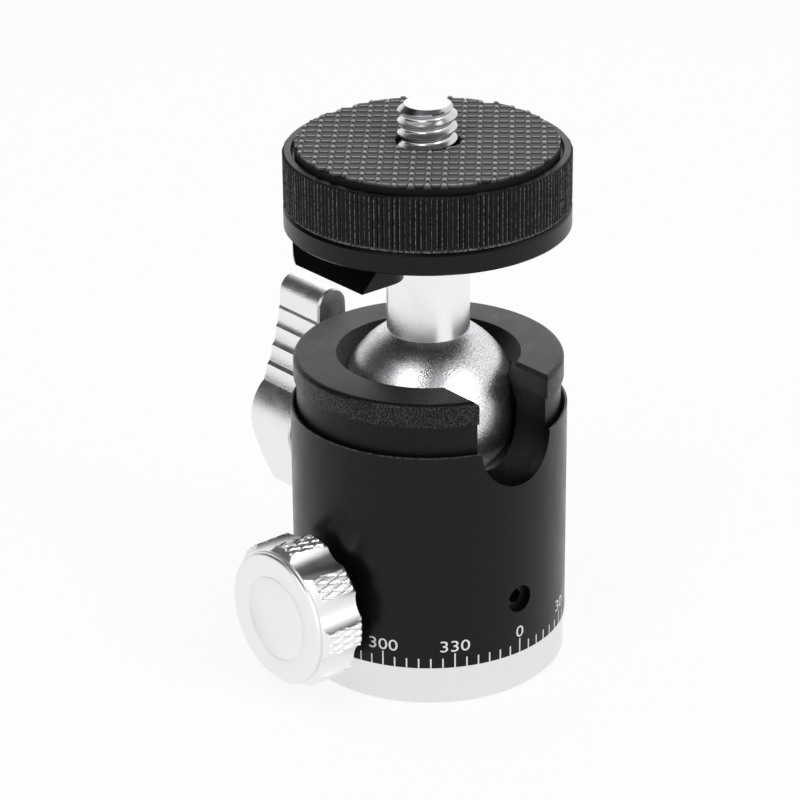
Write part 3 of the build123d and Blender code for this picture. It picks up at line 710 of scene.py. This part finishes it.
# ---------------------------------------------------------------- floor
# To the camera and in reflections the floor is mostly its own light, so the shadow stays soft.
floor_glow = 0.86
floor_paint, tree, shader = finish_of("white_studio_floor", "F6F6F6", 0.7)
path = add(tree, "ShaderNodeLightPath").outputs
seen = add(
    tree, "ShaderNodeMath", {0: path["Is Camera Ray"], 1: path["Is Glossy Ray"]}, operation="MAXIMUM"
).outputs[0]
share = add(tree, "ShaderNodeMath", {0: seen, 1: floor_glow}, operation="MULTIPLY").outputs[0]
glow = add(tree, "ShaderNodeEmission", {"Color": (1, 1, 1, 1), "Strength": 1.0}).outputs[0]
blend = add(tree, "ShaderNodeMixShader", {0: share, 1: shader.outputs[0], 2: glow}).outputs[0]
feed(tree, tree.nodes["Material Output"], {"Surface": blend})
bm = bmesh.new()
bmesh.ops.create_circle(bm, cap_ends=True, radius=4, segments=64)
floor = object_of("floor", bm, floor_paint)

# ---------------------------------------------------------------- studio walls
# White walls under a dark ceiling. Two of them stand higher: one behind the right of the object,
# and one at its right.
high_walls = ((0.63, 0.77, 0.0), (0.82, -0.57, 0.0))
wall_lift = 0.4
wall_end, ceiling_start, ceiling_light = 0.40, 0.62, 0.12
# A dark flag high at the back left keeps the shine off the lever's ledges.
flag_way = Vector((-0.45, 0.69, 0.56)).normalized()
flag_edge, flag_core, flag_light = 0.78, 0.90, 0.06
room_light = 0.45                      # what the walls give to surfaces that don't mirror them

world = bpy.data.worlds.new("studio")
bpy.context.scene.world = world
world.use_nodes = True
tree = world.node_tree
path = add(tree, "ShaderNodeLightPath").outputs
direction = add(tree, "ShaderNodeTexCoord").outputs["Generated"]
height = add(tree, "ShaderNodeSeparateXYZ", {0: direction}).outputs["Z"]
for way in high_walls:
    facing = add(
        tree, "ShaderNodeVectorMath", {0: direction, 1: way}, operation="DOT_PRODUCT"
    ).outputs["Value"]
    facing = add(tree, "ShaderNodeMath", {0: facing, 1: 0.0}, operation="MAXIMUM").outputs[0]
    height = add(
        tree, "ShaderNodeMath", {0: facing, 1: -wall_lift, 2: height}, operation="MULTIPLY_ADD"
    ).outputs[0]
walls = add(
    tree, "ShaderNodeMapRange", {0: height, 1: wall_end, 2: ceiling_start, 3: 1.0, 4: ceiling_light}
).outputs[0]
flag = add(
    tree, "ShaderNodeVectorMath", {0: direction, 1: flag_way}, operation="DOT_PRODUCT"
).outputs["Value"]
unflagged = add(
    tree, "ShaderNodeMapRange", {0: flag, 1: flag_edge, 2: flag_core, 3: 1.0, 4: flag_light}
).outputs[0]
mirrored = add(tree, "ShaderNodeMath", {0: walls, 1: unflagged}, operation="MULTIPLY").outputs[0]
shiny = add(
    tree, "ShaderNodeMath", {0: path["Is Glossy Ray"], 1: path["Is Transmission Ray"]},
    operation="MAXIMUM",
).outputs[0]
strength = add(tree, "ShaderNodeMix", {0: shiny, 2: room_light, 3: mirrored}).outputs[0]
strength = add(tree, "ShaderNodeMix", {0: path["Is Camera Ray"], 2: strength, 3: 1.0}).outputs[0]
feed(tree, tree.nodes["Background"], {"Color": (1, 1, 1, 1), "Strength": strength})


# ---------------------------------------------------------------- lights and camera
def softbox(name, place, width, height, power, target=(0, 0, 0.035)):
    """A soft light, width by height, that faces the object."""
    lamp = bpy.data.lights.new(name, "AREA")
    lamp.shape = "RECTANGLE"
    lamp.size = width
    lamp.size_y = height
    lamp.energy = power
    holder = bpy.data.objects.new(name, lamp)
    bpy.context.scene.collection.objects.link(holder)
    holder.location = place
    holder.rotation_euler = (Vector(target) - Vector(place)).to_track_quat("-Z", "Y").to_euler()
    holder.visible_camera = False
    return holder


softbox("top_light", (0.02, 0.0, 0.62), 0.5, 0.5, 1.1).visible_glossy = False
softbox("left_light", (-0.41, -0.11, 0.46), 0.28, 0.28, 0.85)
softbox("right_light", (0.09, -0.53, 0.31), 0.22, 0.40, 1.1)
softbox("back_light", (0.46, 0.56, 0.36), 0.5, 0.5, 0.36)
# Two small lights high above draw the bright columns down the flanks of the camera thread.
thread_target = (0, 0, 0.06)
softbox("high_right", (0.143, -0.018, 0.486), 0.08, 0.08, 0.05, thread_target)
softbox("high_left", (-0.041, 0.138, 0.486), 0.08, 0.08, 0.05, thread_target)

pitch, roll, heading = radians(65.5395), radians(0.4850), radians(-39.9534)
lens = bpy.data.cameras.new("camera")
lens.lens = 143.4
lens.sensor_width = 36
camera = bpy.data.objects.new("camera", lens)
camera.location = (-0.19991625, -0.23573315, 0.16952)
camera.rotation_euler = Euler((pitch, roll, heading))
bpy.context.scene.collection.objects.link(camera)
bpy.context.scene.camera = camera
bpy.context.scene.view_settings.view_transform = "Standard"
